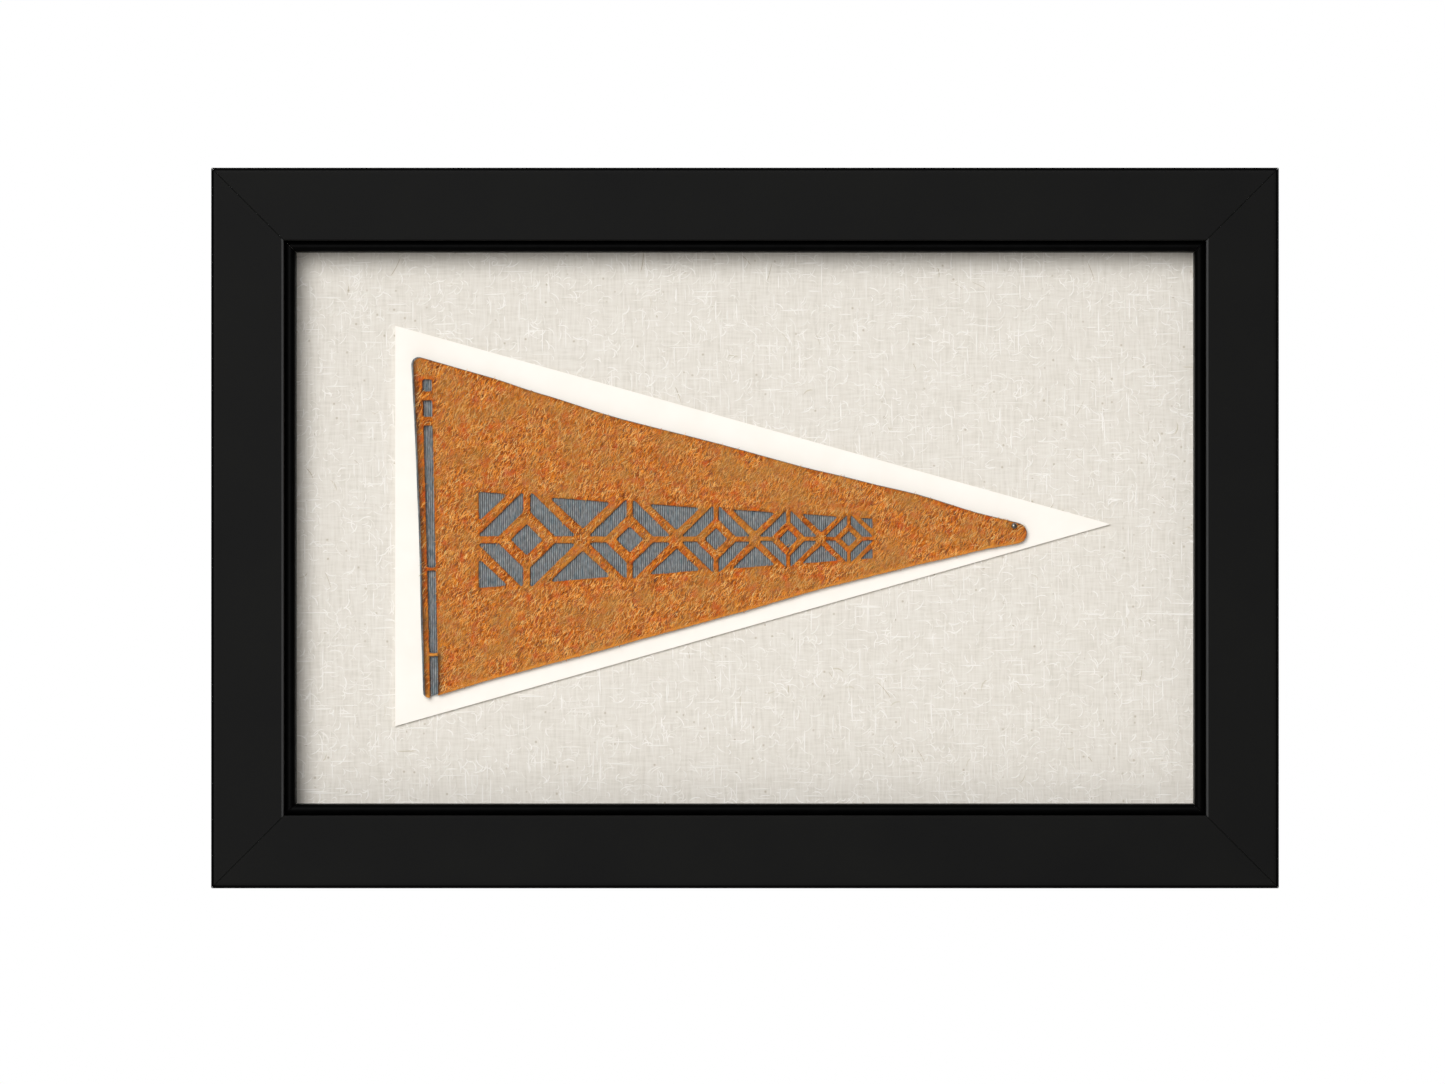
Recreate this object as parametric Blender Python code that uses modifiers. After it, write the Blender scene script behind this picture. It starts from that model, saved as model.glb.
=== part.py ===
"""A small felt pennant flag mounted in a black picture frame.

Metres, +Z up. The front faces -Y and the frame's rear lies on the plane y = 0, against the wall.
The origin is the hanging point, midway along the rear face of the top rail.

Flat pieces are drawn in the plane of the opening: x to the right and z up, from its middle.
Their third number is the height above the wall, which grows towards the viewer.
"""

import math

import bmesh
import bpy
from mathutils import Matrix, Vector

COLLECTION = "Framed pennant flag"

# Between neighbouring pieces; then points closer than WELD become one, and the scale curves are drawn at
GAP = 0.0003
WELD = 1e-6
DRAWING_SCALE = 1000

# Frame: mitred moulding, measured across from its outer edge and up from the wall
FRAME_WIDTH = 0.3560
FRAME_HEIGHT = 0.2407
FRAME_DEPTH = 0.0240
RAIL_WIDTH = 0.0280
EDGE_BEVEL = 0.0010
ARRIS = 0.0004
LIP_WIDTH = 0.0037
BEAD_TOP = 0.0212
BEAD_FOOT = 0.0194
BEAD_STEPS = 8
RABBET_WIDTH = 0.0060
RABBET_HEIGHT = 0.0083

# Sheets, each by its thickness; they are stacked from the lip and the board outwards
BOARD_THICKNESS = 0.0040
LINEN_THICKNESS = 0.0010
CARD_THICKNESS = 0.0010
GROUND_THICKNESS = 0.0010
FELT_THICKNESS = 0.0010
FELT_EDGE_ROUND = 0.0003
WELT_RISE = 0.0006
WELT_SLOPE = 0.0025

# Card triangle's corners: hoist top, hoist bottom, point
CARD_CORNERS = ((-0.1170, 0.0677), (-0.1170, -0.0663), (0.1223, 0.0013))

# Pennant: the corners of its long triangle before they are rounded
FLY_POINT = (0.1039, -0.0017)
HOIST_TOP = (-0.1117, 0.0580)
HOIST_BOTTOM = (-0.1076, -0.0572)
TIP_RADIUS = 0.0034
HOIST_TOP_RADIUS = 0.0024
HOIST_BOTTOM_RADIUS = 0.0014
TIP_STEPS = 10
CORNER_STEPS = 4
EDGE_POINT_SPACING = 0.0050
FELT_SETBACK_HOIST = 0.0006
FELT_SETBACK_TOP = 0.0003

# How far the cut edges draw in from straight: share of the edge's length, sag
TOP_EDGE_SAG = (
    (0.00, 0.0000),
    (0.06, 0.0000),
    (0.12, 0.0004),
    (0.21, -0.0002),
    (0.30, 0.0005),
    (0.40, 0.0012),
    (0.50, 0.0012),
    (0.68, 0.0019),
    (0.80, 0.0010),
    (0.88, 0.0002),
    (1.00, 0.0000),
)
HOIST_EDGE_SAG = (
    (0.00, 0.0000),
    (0.30, 0.0004),
    (0.55, 0.0005),
    (0.80, 0.0001),
    (1.00, 0.0000),
)
BOTTOM_EDGE_SAG = (
    (0.00, 0.0000),
    (0.12, 0.0007),
    (0.25, 0.0007),
    (0.38, 0.0010),
    (0.50, 0.0013),
    (0.63, 0.0020),
    (0.75, 0.0017),
    (0.88, 0.0010),
    (0.94, 0.0001),
    (1.00, 0.0000),
)

# Slot along the hoist: middle and width at its two ends, then the windows' heights
SLOT_TOP = (-0.1063, 0.0497)
SLOT_BOTTOM = (-0.1038, -0.0563)
SLOT_WIDTH_TOP = 0.0031
SLOT_WIDTH_BOTTOM = 0.0027
SLOT_CORNER_RADIUS = 0.0005
SLOT_WINDOWS = (
    (0.0497, 0.0457),
    (0.0427, 0.0372),
    (0.0343, -0.0132),
    (-0.0142, -0.0418),
)
SLOT_OPEN_TOP = -0.0428

# Band of lozenges and triangles that shrinks towards the tip
BAND_START = (-0.0917, -0.0040)
BAND_END = (0.0440, -0.0035)
BAND_HEIGHT_START = 0.0380
BAND_HEIGHT_END = 0.0157
LOZENGES = 5
RING_WIDTH = 0.0050
LOZENGE_MARGIN = 0.0010
BRIDGE_WIDTH = 0.0024
HEART_SHARE = 0.30
TRIANGLE_MARGIN = 0.0027
WINDOW_CORNER_RADIUS = 0.0005
WINDOW_CORNER_STEPS = 2

# Pin at the tip: its place, its domed head and its shank through the felt
PIN_PLACE = (0.0900, 0.0007)
PIN_HEAD_RADIUS = 0.0010
PIN_HEAD_HEIGHT = 0.0007
PIN_SHANK_RADIUS = 0.0003
PIN_HOLE_RADIUS = 0.0006
PIN_HOLE_SIDES = 12
PIN_SIDES = 16
PIN_HEAD_STEPS = 5

SIGHT_WIDTH = FRAME_WIDTH - 2 * RAIL_WIDTH
SIGHT_HEIGHT = FRAME_HEIGHT - 2 * RAIL_WIDTH
HANG_INSET = (RAIL_WIDTH - RABBET_WIDTH) / 2
FRAME_MIDDLE = Vector((0, 0, HANG_INSET - FRAME_HEIGHT / 2))
LINEN_FRONT = RABBET_HEIGHT - GAP
LINEN_REAR = LINEN_FRONT - LINEN_THICKNESS
BOARD_REAR = LINEN_REAR - GAP - BOARD_THICKNESS
CARD_REAR = LINEN_FRONT + GAP
GROUND_REAR = CARD_REAR + CARD_THICKNESS + GAP
FELT_REAR = GROUND_REAR + GROUND_THICKNESS + GAP
FELT_FRONT = FELT_REAR + FELT_THICKNESS
ON_WALL = Matrix.Translation(FRAME_MIDDLE) @ Matrix.Rotation(math.pi / 2, 4, "X")


def clear_scene():
    for obj in list(bpy.data.objects):
        bpy.data.objects.remove(obj)


def part_collection():
    collection = bpy.data.collections.new(COLLECTION)
    bpy.context.scene.collection.children.link(collection)
    return collection


def finish(name, colour, roughness, metallic=0.0):
    """A Principled material with one colour."""
    material = bpy.data.materials.new(name)
    material.use_nodes = True
    shader = material.node_tree.nodes["Principled BSDF"]
    shader.inputs["Base Color"].default_value = (*colour, 1)
    shader.inputs["Roughness"].default_value = roughness
    shader.inputs["Metallic"].default_value = metallic
    return material


def extruded(name, outlines, thickness, edge_round=0.0):
    """A mesh cut from flat stock: the first outline is its edge, the others are holes.

    It lies in its own XY plane with half its thickness on each side. The curve is drawn large
    and its mesh brought down to size, because the fill joins points that lie very close.
    """
    curve = bpy.data.curves.new(name, "CURVE")
    curve.dimensions = "2D"
    curve.fill_mode = "BOTH"
    curve.extrude = (thickness / 2 - edge_round) * DRAWING_SCALE
    curve.bevel_depth = edge_round * DRAWING_SCALE
    curve.bevel_resolution = 0
    curve.offset = -edge_round * DRAWING_SCALE
    for outline in outlines:
        spline = curve.splines.new("POLY")
        spline.points.add(len(outline) - 1)
        for point, place in zip(spline.points, outline):
            point.co = (place[0] * DRAWING_SCALE, place[1] * DRAWING_SCALE, 0, 1)
        spline.use_cyclic_u = True
    drawn = bpy.data.objects.new(name, curve)
    bpy.context.scene.collection.objects.link(drawn)
    graph = bpy.context.evaluated_depsgraph_get()
    mesh = bpy.data.meshes.new_from_object(drawn.evaluated_get(graph))
    bpy.data.objects.remove(drawn)
    shape = bmesh.new()
    shape.from_mesh(mesh)
    bmesh.ops.scale(shape, vec=Vector((1, 1, 1)) / DRAWING_SCALE, verts=shape.verts)
    bmesh.ops.remove_doubles(shape, verts=shape.verts, dist=WELD)
    bmesh.ops.recalc_face_normals(shape, faces=shape.faces)
    shape.to_mesh(mesh)
    shape.free()
    mesh.name = name
    return mesh


def add_piece(collection, name, mesh, matrix, material):
    piece = bpy.data.objects.new(name, mesh)
    piece.matrix_world = matrix
    mesh.materials.clear()
    mesh.materials.append(material)
    collection.objects.link(piece)
    return piece


def add_sheet(collection, name, outlines, rear, thickness, material, edge_round=0.0):
    """A flat piece in the plane of the opening, with its rear at that height above the wall."""
    mesh = extruded(name, outlines, thickness, edge_round)
    lift = Matrix.Translation((0, 0, rear + thickness / 2))
    return add_piece(collection, name, mesh, ON_WALL @ lift, material)


def rectangle(width, height):
    return [
        Vector((right * width / 2, up * height / 2))
        for right, up in ((-1, -1), (1, -1), (1, 1), (-1, 1))
    ]


def corner_arc(corner, before, after, radius, steps):
    """The arc that rounds a corner between the points before and after it."""
    back = (before - corner).normalized()
    on = (after - corner).normalized()
    half = back.angle(on) / 2
    bisector = (back + on).normalized()
    centre = corner + bisector * radius / math.sin(half)
    reach = math.copysign(math.pi / 2 - half, back.cross(on))
    turns = [reach * (1 - 2 * step / steps) for step in range(steps + 1)]
    return [centre - Matrix.Rotation(turn, 2) @ bisector * radius for turn in turns]


def rounded(corners, radius, steps):
    """A closed outline with each of its corners rounded alike."""
    outline = []
    for index, corner in enumerate(corners):
        before = corners[index - 1]
        after = corners[(index + 1) % len(corners)]
        outline += corner_arc(corner, before, after, radius, steps)
    return outline


def sag_at(rows, share):
    """The sag at a share of the edge's length, eased between the rows of its table."""
    for (start, sag), (end, next_sag) in zip(rows, rows[1:]):
        if share <= end:
            part = (share - start) / (end - start)
            return sag + (next_sag - sag) * part * part * (3 - 2 * part)
    return 0.0


def edge_point(start, end, rows, distance):
    """A point of an uneven edge; the inside lies to the left of its direction."""
    along = (end - start).normalized()
    inward = Vector((-along.y, along.x))
    share = distance / (end - start).length
    return start + along * distance + inward * sag_at(rows, share)


def edge_points(start, end, rows, first, last):
    """Points along an uneven edge between two distances from its start, without those two."""
    count = max(2, round((last - first) / EDGE_POINT_SPACING))
    step = (last - first) / count
    return [edge_point(start, end, rows, first + step * index) for index in range(1, count)]


def arc_reach(corner, before, after, radius):
    """How far from the corner its arc begins."""
    half = (before - corner).angle(after - corner) / 2
    return radius / math.tan(half)


def slot_side(height, side):
    """A point on the left (-1) or right (1) side of the hoist slot at that height."""
    share = (SLOT_TOP[1] - height) / (SLOT_TOP[1] - SLOT_BOTTOM[1])
    middle = SLOT_TOP[0] + (SLOT_BOTTOM[0] - SLOT_TOP[0]) * share
    width = SLOT_WIDTH_TOP + (SLOT_WIDTH_BOTTOM - SLOT_WIDTH_TOP) * share
    return Vector((middle + side * width / 2, height))


def open_slot(start, end, rows):
    """The end of the slot that runs out through the bottom edge, from left to right."""
    sides = []
    for side in (-1, 1):
        distance = slot_side(SLOT_BOTTOM[1], side).x - start.x
        sides.append(edge_point(start, end, rows, distance))
    left, right = sides
    return [left, slot_side(SLOT_OPEN_TOP, -1), slot_side(SLOT_OPEN_TOP, 1), right]


def pennant_outline(hoist_setback, top_setback, with_slot):
    """The pennant's edge, round from its tip by the top and the hoist to the bottom edge."""
    tip = Vector(FLY_POINT) - Vector((0, top_setback / 2))
    top = Vector(HOIST_TOP) + Vector((hoist_setback, -top_setback))
    bottom = Vector(HOIST_BOTTOM) + Vector((hoist_setback, 0))
    corners = (
        (tip, bottom, top, TIP_RADIUS, TIP_STEPS, TOP_EDGE_SAG),
        (top, tip, bottom, HOIST_TOP_RADIUS, CORNER_STEPS, HOIST_EDGE_SAG),
        (bottom, top, tip, HOIST_BOTTOM_RADIUS, CORNER_STEPS, BOTTOM_EDGE_SAG),
    )
    outline = []
    for index, (corner, before, after, radius, steps, rows) in enumerate(corners):
        outline += corner_arc(corner, before, after, radius, steps)
        first = arc_reach(corner, before, after, radius)
        if with_slot and corner is bottom:
            notch = open_slot(corner, after, rows)
            outline += notch
            first = (notch[-1] - corner).length
        _, next_before, next_after, next_radius, _, _ = corners[(index + 1) % len(corners)]
        last = (after - corner).length - arc_reach(after, next_before, next_after, next_radius)
        outline += edge_points(corner, after, rows, first, last)
    return outline


def slot_windows():
    windows = []
    for top, bottom in SLOT_WINDOWS:
        corners = [slot_side(top, -1), slot_side(bottom, -1), slot_side(bottom, 1), slot_side(top, 1)]
        windows.append(rounded(corners, SLOT_CORNER_RADIUS, WINDOW_CORNER_STEPS))
    return windows


def lozenge_windows(middle, half_width, half_height, scale):
    """Four slanted bars round a heart, parted by felt bridges that keep the heart's field in place."""
    edge_distance = half_width * half_height / math.hypot(half_width, half_height)
    inner = 1 - RING_WIDTH * scale / edge_distance
    bridge = BRIDGE_WIDTH * scale / 2
    radius = WINDOW_CORNER_RADIUS * scale
    windows = []
    for right, up in ((1, 1), (-1, 1), (-1, -1), (1, -1)):
        bar = []
        for share in (1, inner):
            width, height = half_width * share, half_height * share
            ends = [(bridge, height * (1 - bridge / width)), (width * (1 - bridge / height), bridge)]
            bar += ends if share == 1 else ends[::-1]
        corners = [middle + Vector((right * x, up * y)) for x, y in bar]
        windows.append(rounded(corners, radius, WINDOW_CORNER_STEPS))
    heart = [
        middle + Vector((x * half_width, y * half_height)) * HEART_SHARE
        for x, y in ((1, 0), (0, 1), (-1, 0), (0, -1))
    ]
    windows.append(rounded(heart, radius, WINDOW_CORNER_STEPS))
    return windows


def inset_triangle(corners, margin):
    """The triangle drawn in by the margin on all its sides."""
    sides = [(corners[(i + 2) % 3] - corners[(i + 1) % 3]).length for i in range(3)]
    centre = sum((c * s for c, s in zip(corners, sides)), Vector((0, 0))) / sum(sides)
    first, second = corners[1] - corners[0], corners[2] - corners[0]
    inner_radius = abs(first.cross(second)) / sum(sides)
    return [centre + (c - centre) * (1 - margin / inner_radius) for c in corners]


def band_windows():
    """The lozenges in a row, with a triangle above and below each place where their tips end or meet."""
    start, end = Vector(BAND_START), Vector(BAND_END)
    shrink = (BAND_HEIGHT_END / BAND_HEIGHT_START) ** (1 / LOZENGES)
    first_width = (end.x - start.x) * (1 - shrink) / (1 - shrink**LOZENGES)
    windows = []
    tips = [start]
    tops = [(start, BAND_HEIGHT_START / 2, 1.0)]
    for index in range(LOZENGES):
        scale = shrink**index
        width = first_width * scale
        share = (tips[-1].x + width / 2 - start.x) / (end.x - start.x)
        middle = start.lerp(end, share)
        height = BAND_HEIGHT_START + (BAND_HEIGHT_END - BAND_HEIGHT_START) * share
        half_width = width / 2 - LOZENGE_MARGIN * scale
        windows += lozenge_windows(middle, half_width, height / 2, scale)
        tops.append((middle, height / 2, scale))
        tips.append(middle + (middle - tips[-1]))
    tops.append((end, BAND_HEIGHT_END / 2, scale))
    for (middle, reach, scale), (next_middle, next_reach, _), tip in zip(tops, tops[1:], tips):
        for up in (1, -1):
            notch = [middle + Vector((0, up * reach)), next_middle + Vector((0, up * next_reach)), tip]
            corners = inset_triangle(notch, TRIANGLE_MARGIN * scale)
            windows.append(rounded(corners, WINDOW_CORNER_RADIUS * scale, WINDOW_CORNER_STEPS))
    return windows


def circle(place, radius, sides):
    turns = (2 * math.pi * index / sides for index in range(sides))
    return [Vector(place) + Vector((math.cos(turn), math.sin(turn))) * radius for turn in turns]


def rail_profile():
    """Points (across from the outer edge, up from the wall) round the moulding's section."""
    lip = RAIL_WIDTH - LIP_WIDTH
    rabbet = RAIL_WIDTH - RABBET_WIDTH
    points = [
        (0, 0),
        (0, FRAME_DEPTH - EDGE_BEVEL),
        (EDGE_BEVEL, FRAME_DEPTH),
        (lip - ARRIS, FRAME_DEPTH),
        (lip, FRAME_DEPTH - ARRIS),
    ]
    for step in range(BEAD_STEPS + 1):
        turn = math.pi * step / BEAD_STEPS
        across = lip + LIP_WIDTH * (1 - math.cos(turn)) / 2
        points.append((across, BEAD_FOOT + (BEAD_TOP - BEAD_FOOT) * math.sin(turn)))
    points += [(RAIL_WIDTH, RABBET_HEIGHT), (rabbet, RABBET_HEIGHT), (rabbet, 0)]
    return points


def mitred_rail(name, length):
    """The section drawn out along local Z, with each end sheared to a mitre."""
    mesh = extruded(name, [rail_profile()], length)
    half = (length - math.sqrt(2) * GAP) / 2
    for vertex in mesh.vertices:
        vertex.co.z = math.copysign(half - vertex.co.x, vertex.co.z)
    return mesh


def add_frame(collection):
    """Four rails round the opening; local X of each points inwards and local Y to the viewer."""
    lacquer = finish("Black lacquer on wood", (0.012, 0.012, 0.012), 0.38)
    forward = Vector((0, -1, 0))
    rows = (
        ("rail_top", (0, 0, -1), FRAME_WIDTH, FRAME_HEIGHT / 2),
        ("rail_bottom", (0, 0, 1), FRAME_WIDTH, FRAME_HEIGHT / 2),
        ("rail_left", (1, 0, 0), FRAME_HEIGHT, FRAME_WIDTH / 2),
        ("rail_right", (-1, 0, 0), FRAME_HEIGHT, FRAME_WIDTH / 2),
    )
    for name, inward, length, reach in rows:
        inward = Vector(inward)
        turn = Matrix((inward, forward, inward.cross(forward))).transposed().to_4x4()
        place = Matrix.Translation(FRAME_MIDDLE - inward * reach)
        mesh = mitred_rail(name, length)
        mesh.shade_smooth()
        mesh.set_sharp_from_angle(angle=math.radians(30))
        add_piece(collection, name, mesh, place @ turn, lacquer)


def add_board_and_linen(collection):
    """The board in the rabbet and the linen stretched over its front."""
    size = 2 * (RABBET_WIDTH - GAP)
    outline = rectangle(SIGHT_WIDTH + size, SIGHT_HEIGHT + size)
    board = finish("Plain hardboard", (0.30, 0.19, 0.11), 0.80)
    linen = finish("Natural linen", (0.79, 0.75, 0.68), 0.90)
    add_sheet(collection, "backing_board", [outline], BOARD_REAR, BOARD_THICKNESS, board)
    add_sheet(collection, "linen_cloth", [outline], LINEN_REAR, LINEN_THICKNESS, linen)


def add_card(collection):
    card = finish("Cream card", (0.98, 0.94, 0.87), 0.75)
    corners = [Vector(corner) for corner in CARD_CORNERS]
    add_sheet(collection, "card_triangle", [corners], CARD_REAR, CARD_THICKNESS, card)


def raise_welt(mesh):
    """Thickens the felt between the hoist edge and the slot; it slopes down across the bridges."""
    along = (slot_side(SLOT_BOTTOM[1], 0) - slot_side(SLOT_TOP[1], 0)).normalized()
    to_fly = Vector((-along.y, along.x, 0))
    middle = slot_side(0, 0).to_3d()
    shape = bmesh.new()
    shape.from_mesh(mesh)
    for distance in (0, WELT_SLOPE):
        cut = middle + to_fly * distance
        everything = [*shape.verts, *shape.edges, *shape.faces]
        bmesh.ops.bisect_plane(shape, geom=everything, plane_co=cut, plane_no=to_fly)
    for vertex in shape.verts:
        if vertex.co.z > 0 and (vertex.co - middle).dot(to_fly) < WELD:
            vertex.co.z += WELT_RISE
    shape.to_mesh(mesh)
    shape.free()


def add_pennant(collection):
    """The ribbed ground cloth, and on it the felt with its slot and windows."""
    ribbed = finish("Grey-blue ribbed weave", (0.16, 0.17, 0.18), 0.90)
    felt = finish("Rust-orange felt", (0.48, 0.18, 0.045), 0.95)
    ground = [pennant_outline(0, 0, with_slot=False)]
    add_sheet(collection, "ground_cloth", ground, GROUND_REAR, GROUND_THICKNESS, ribbed)
    outlines = [pennant_outline(FELT_SETBACK_HOIST, FELT_SETBACK_TOP, with_slot=True)]
    outlines += slot_windows() + band_windows()
    outlines.append(circle(PIN_PLACE, PIN_HOLE_RADIUS, PIN_HOLE_SIDES))
    face = add_sheet(
        collection, "felt_face", outlines, FELT_REAR, FELT_THICKNESS, felt, FELT_EDGE_ROUND
    )
    raise_welt(face.data)


def add_pin(collection):
    """A domed head turned with its shank, standing in the hole near the tip."""
    steel = finish("Nickel-plated steel", (0.45, 0.45, 0.46), 0.25, 1.0)
    head_rear = FELT_FRONT + GAP
    shank_end = FELT_REAR
    profile = []
    for step in range(PIN_HEAD_STEPS + 1):
        turn = math.pi / 2 * step / PIN_HEAD_STEPS
        height = head_rear + PIN_HEAD_HEIGHT * math.cos(turn)
        profile.append((PIN_HEAD_RADIUS * math.sin(turn), height))
    profile += [(PIN_SHANK_RADIUS, head_rear), (PIN_SHANK_RADIUS, shank_end), (0, shank_end)]
    mesh = bpy.data.meshes.new("tip_pin")
    edges = [(index, index + 1) for index in range(len(profile) - 1)]
    mesh.from_pydata([(across, 0, height) for across, height in profile], edges, [])
    place = Matrix.Translation((*PIN_PLACE, 0))
    pin = add_piece(collection, "tip_pin", mesh, ON_WALL @ place, steel)
    turned = pin.modifiers.new("Turned", "SCREW")
    turned.steps = PIN_SIDES
    turned.render_steps = PIN_SIDES
    turned.use_merge_vertices = True
    turned.merge_threshold = WELD
    turned.use_smooth_shade = True


def main():
    clear_scene()
    collection = part_collection()
    add_frame(collection)
    add_board_and_linen(collection)
    add_card(collection)
    add_pennant(collection)
    add_pin(collection)


main()
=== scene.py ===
import math
import random

import bmesh
import bpy
import numpy as np
from mathutils import Matrix, Vector, noise
from mathutils.geometry import delaunay_2d_cdt
from mathutils.kdtree import KDTree


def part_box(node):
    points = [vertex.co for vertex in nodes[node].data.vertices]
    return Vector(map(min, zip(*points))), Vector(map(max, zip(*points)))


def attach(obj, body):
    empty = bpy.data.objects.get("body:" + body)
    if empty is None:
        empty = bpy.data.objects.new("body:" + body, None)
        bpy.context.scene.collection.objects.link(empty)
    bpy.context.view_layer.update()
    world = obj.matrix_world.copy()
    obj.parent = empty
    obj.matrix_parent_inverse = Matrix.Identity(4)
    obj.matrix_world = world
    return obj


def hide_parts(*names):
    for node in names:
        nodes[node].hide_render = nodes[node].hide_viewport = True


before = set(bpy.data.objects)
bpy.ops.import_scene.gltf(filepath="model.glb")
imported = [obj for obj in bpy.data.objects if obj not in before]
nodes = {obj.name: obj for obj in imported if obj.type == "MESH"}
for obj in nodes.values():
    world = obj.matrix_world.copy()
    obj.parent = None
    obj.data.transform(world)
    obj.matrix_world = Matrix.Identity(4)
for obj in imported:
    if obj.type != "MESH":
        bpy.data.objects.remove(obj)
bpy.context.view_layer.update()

# Picture frame
# Four lengths of planed wooden moulding, mitred and glued at the corners, then sprayed with black
# lacquer that dried nearly matt. Painted shade darkens its outer edge and the narrow bead at the
# sight edge, and a painted highlight lightens the inner arris of the side rails.
RAIL_WIDTH = 0.0280
FRAME_DEPTH = 0.0240
EDGE_ROUND = 0.0010
ARRIS_ROUND = 0.0004
LIP_WIDTH = 0.0037
BEAD_TOP = 0.0212
BEAD_FOOT = 0.0194
BEAD_STEPS = 16
GROOVE_RISE = 0.0012
BEAD_DROP = 0.0008
RABBET_WIDTH = 0.0060
RABBET_HEIGHT = 0.0083
MITRE_GAP = 0.00012
FLAT_SIDE = EDGE_ROUND / 50
ARRIS_WIDTH = 2 * ARRIS_ROUND


def linear(code):
    """An sRGB hex colour as the linear RGBA that Blender's sockets take."""
    channels = (int(code[i : i + 2], 16) / 255 for i in (1, 3, 5))
    return (*(c / 12.92 if c <= 0.04045 else ((c + 0.055) / 1.055) ** 2.4 for c in channels), 1)


def fill(tree, node, links):
    """Link each named input of a node from a socket, or give it a value."""
    for name, value in dict(links).items():
        if isinstance(value, bpy.types.NodeSocket):
            tree.links.new(value, node.inputs[name])
        else:
            node.inputs[name].default_value = value


def add_node(tree, kind, settings=(), links=()):
    """A node with its settings, and its inputs filled."""
    node = tree.nodes.new(kind)
    for name, value in dict(settings).items():
        if name == "stops":
            ramp = node.color_ramp
            while len(ramp.elements) < len(value):
                ramp.elements.new(0.5)
            for element, (position, colour) in zip(ramp.elements, value):
                element.position = position
                element.color = linear(colour) if isinstance(colour, str) else (*[colour] * 3, 1)
        else:
            setattr(node, name, value)
    fill(tree, node, links)
    return node


def new_material(name):
    """A material with its node tree, its shader and the object's own coordinates in metres."""
    material = bpy.data.materials.new(name)
    material.use_nodes = True
    tree = material.node_tree
    place = add_node(tree, "ShaderNodeTexCoord").outputs["Object"]
    return material, tree, tree.nodes["Principled BSDF"], place


def place_piece(name, mesh):
    """An object of this name that shows the mesh."""
    piece = bpy.data.objects.new(name, mesh)
    bpy.context.scene.collection.objects.link(piece)
    return piece


def new_tree(name, output, inputs):
    """A Geometry Nodes tree that makes one geometry, and the sockets of its named inputs."""
    tree = bpy.data.node_groups.new(name, "GeometryNodeTree")
    for label, kind in inputs.items():
        tree.interface.new_socket(label, in_out="INPUT", socket_type="NodeSocket" + kind)
    tree.interface.new_socket(output, in_out="OUTPUT", socket_type="NodeSocketGeometry")
    return tree, add_node(tree, "NodeGroupInput").outputs


def made_by(tree, piece, **sizes):
    """The plain mesh that a Geometry Nodes tree makes of a piece with these sizes."""
    modifier = piece.modifiers.new(tree.name, "NODES")
    modifier.node_group = tree
    for item in tree.interface.items_tree:
        if item.in_out == "INPUT" and item.name in sizes:
            modifier[item.identifier] = sizes[item.name]
    graph = bpy.context.evaluated_depsgraph_get()
    mesh = bpy.data.meshes.new_from_object(piece.evaluated_get(graph))
    piece.modifiers.remove(modifier)
    return mesh


# Black lacquer on wood: sprayed, so it is even and nearly matt, with an orange peel of about 1 mm
lacquer, tree, shader, place = new_material("Black lacquer, sprayed on wood")
peel = add_node(tree, "ShaderNodeTexNoise", links={"Vector": place, "Scale": 900, "Detail": 3})
cloud = add_node(tree, "ShaderNodeTexNoise", links={"Vector": place, "Scale": 30, "Detail": 4})
tone = add_node(
    tree,
    "ShaderNodeValToRGB",
    {"stops": [(0.3, "#111111"), (0.7, "#141413")]},
    {"Fac": cloud.outputs["Fac"]},
)
gloss = add_node(
    tree,
    "ShaderNodeMapRange",
    links={"Value": cloud.outputs["Fac"], "To Min": 0.40, "To Max": 0.46},
)
relief = add_node(
    tree,
    "ShaderNodeBump",
    links={"Height": peel.outputs["Fac"], "Strength": 0.06, "Distance": 0.0001},
)
fill(
    tree,
    shader,
    {
        "Base Color": tone.outputs["Color"],
        "Roughness": gloss.outputs["Result"],
        "Normal": relief.outputs["Normal"],
        "Specular IOR Level": 0.04,
    },
)

# The same lacquer with painted shade on the bead and on the rounding of the outer edge: deep
# black, with streaks along it about 5 mm apart
bead_and_edge_shade_lacquer, tree, shader, place = new_material("Black lacquer, painted shade on bead and edge")
streak = add_node(tree, "ShaderNodeTexNoise", links={"Vector": place, "Scale": 220, "Detail": 3})
tone = add_node(
    tree,
    "ShaderNodeValToRGB",
    {"stops": [(0.3, "#020202"), (0.7, "#040404")]},
    {"Fac": streak.outputs["Fac"]},
)
fill(
    tree,
    shader,
    {
        "Base Color": tone.outputs["Color"],
        "Roughness": 0.45,
        "Specular IOR Level": 0.025,
    },
)

# The same lacquer with a painted highlight along the inner arris of the two side rails
arris_highlight_lacquer, tree, shader, place = new_material("Black lacquer, painted highlight on arris")
fill(tree, shader, {"Base Color": linear("#272727"), "Roughness": 0.4, "Specular IOR Level": 0.2})


def arc(centre, radius, start, end, steps):
    """Points of an arc from one angle to another, in degrees."""
    turns = [math.radians(start + (end - start) * i / steps) for i in range(steps + 1)]
    return [(centre[0] + radius * math.cos(t), centre[1] + radius * math.sin(t)) for t in turns]


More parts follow.
